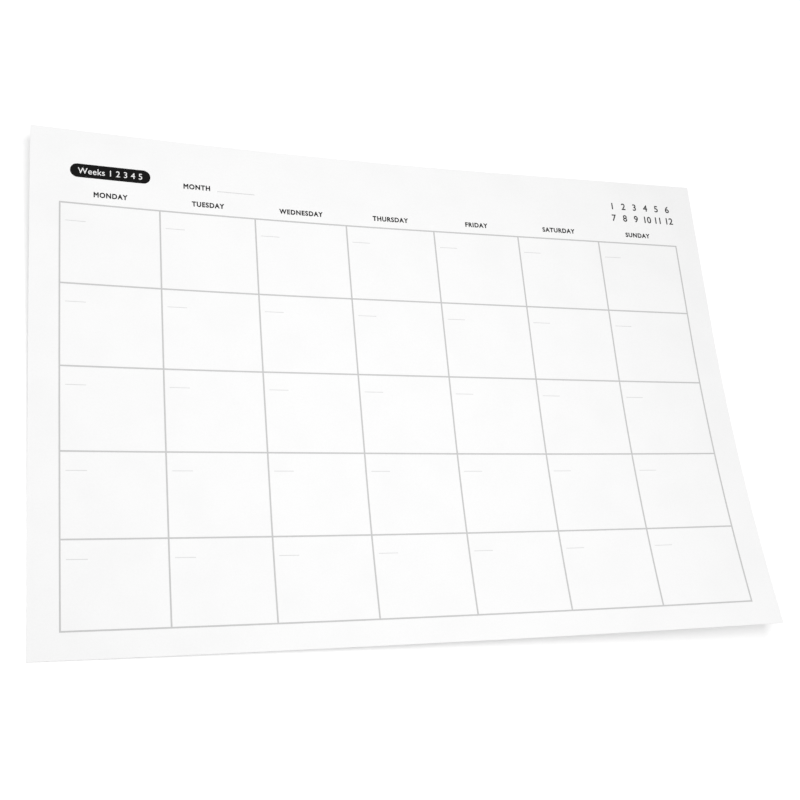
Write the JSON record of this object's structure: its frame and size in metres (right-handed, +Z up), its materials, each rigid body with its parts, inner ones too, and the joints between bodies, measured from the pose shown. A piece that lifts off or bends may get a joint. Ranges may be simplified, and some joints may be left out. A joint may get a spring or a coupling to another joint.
{
  "type": "monthly planner",
  "caption": "Large loose planner sheet, ruled in a grid of day cells under a header, lying print side up with two opposite corners gently curled off the table.",
  "frame": {"origin": "under the middle of the page, on the underside of the flat band that lies on the table", "axes": "+X along the long side, to the right as the page is read; +Y up the page; +Z up off the table, out of the printed face"},
  "size_m": [0.42, 0.297, 0.0215],
  "materials": {
    "paper": "smooth uncoated matt, near white",
    "grid_ink": "matt light grey printed line",
    "badge_ink": "solid black print, faint satin",
    "pale_ink": "matt pale grey printed line"
  },
  "bodies": {
    "root": {"paper_sheet": "paper", "grid_ruling": "grid_ink", "title_badge": "badge_ink", "writing_rules": "pale_ink"}
  },
  "joints": []
}
